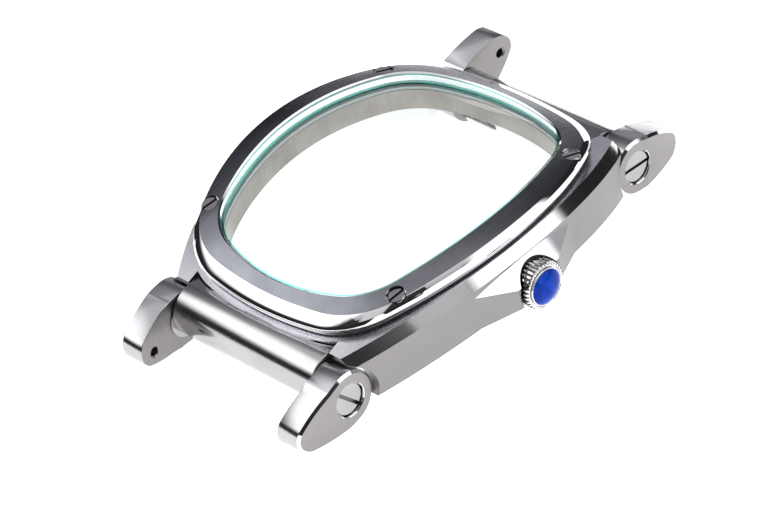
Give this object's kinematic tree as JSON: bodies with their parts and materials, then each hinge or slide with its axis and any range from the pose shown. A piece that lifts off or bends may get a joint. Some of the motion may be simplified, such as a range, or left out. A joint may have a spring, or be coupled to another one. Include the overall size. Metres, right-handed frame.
{
  "type": "wristwatch case",
  "caption": "Empty bent cushion watch case with a screwed bezel, clear crystal, hinged lugs on round end bars and a guarded fluted crown with a blue cabochon",
  "frame": {"origin": "centre of the case-back seat, midway between its four screw holes", "axes": "+X points to the crown, +Y along the case to twelve o'clock, +Z out through the crystal"},
  "size_m": [0.0438, 0.0617, 0.0137],
  "materials": {
    "case_steel": "satin steel with polished bevels",
    "bezel_steel": "brushed along the strap on top, polished chamfers",
    "bar_steel": "steel polished round its length",
    "lug_steel": "satin sides, polished rim bevel",
    "screw_steel": "turned steel",
    "polished_steel": "mirror polished steel",
    "bush_bronze": "plain bearing bronze",
    "gasket_rubber": "smooth black seal",
    "gasket_nylon": "smooth white nylon",
    "crystal_glass": "clear, faintly green at its edge",
    "blue_stone": "polished saturated blue"
  },
  "bodies": {
    "case": {"mid_case": "case_steel", "end_bar_front": "bar_steel", "end_bar_rear": "bar_steel", "end_bar_screws": "screw_steel", "bezel": "bezel_steel", "bezel_gasket": "gasket_rubber", "bezel_screws": "screw_steel", "crystal": "crystal_glass", "crystal_gasket": "gasket_nylon", "crown_tube": "screw_steel", "lug_axle_front": "screw_steel", "lug_axle_rear": "screw_steel", "lug_bushes": "bush_bronze", "lug_washers": "screw_steel", "lug_screws": "polished_steel"},
    "front_left_lug": {"lug_front_left": "lug_steel"},
    "front_right_lug": {"lug_front_right": "lug_steel"},
    "rear_left_lug": {"lug_rear_left": "lug_steel"},
    "rear_right_lug": {"lug_rear_right": "lug_steel"},
    "crown_slide": {"crown_gasket": "gasket_rubber", "crown_washer": "screw_steel"},
    "crown": {"crown_shell": "polished_steel", "crown_post": "screw_steel", "crown_setting": "polished_steel", "cabochon": "blue_stone"}
  },
  "joints": [
    {"name": "front_left_hinge", "type": "hinge", "parent": "case", "child": "front_left_lug", "pos_m": [-0.0111, -0.02328, -0.00167], "axis": [-1, 0, 0], "range_deg": [-61, 44]},
    {"name": "front_right_hinge", "type": "hinge", "parent": "case", "child": "front_right_lug", "pos_m": [0.0111, -0.02328, -0.00167], "axis": [-1, 0, 0], "range_deg": [-49, 56]},
    {"name": "rear_left_hinge", "type": "hinge", "parent": "case", "child": "rear_left_lug", "pos_m": [-0.0111, 0.02328, -0.00167], "axis": [1, 0, 0], "range_deg": [-99, 6]},
    {"name": "rear_right_hinge", "type": "hinge", "parent": "case", "child": "rear_right_lug", "pos_m": [0.0111, 0.02328, -0.00167], "axis": [1, 0, 0], "range_deg": [-52, 53]},
    {"name": "crown_pull", "type": "slide", "parent": "case", "child": "crown_slide", "axis": [1, 0, 0], "range_m": [0, 0.0012]},
    {"name": "crown_turn", "type": "hinge", "parent": "crown_slide", "child": "crown", "pos_m": [0.0215, 0, 0.00118], "axis": [1, 0, 0], "continuous": true}
  ]
}
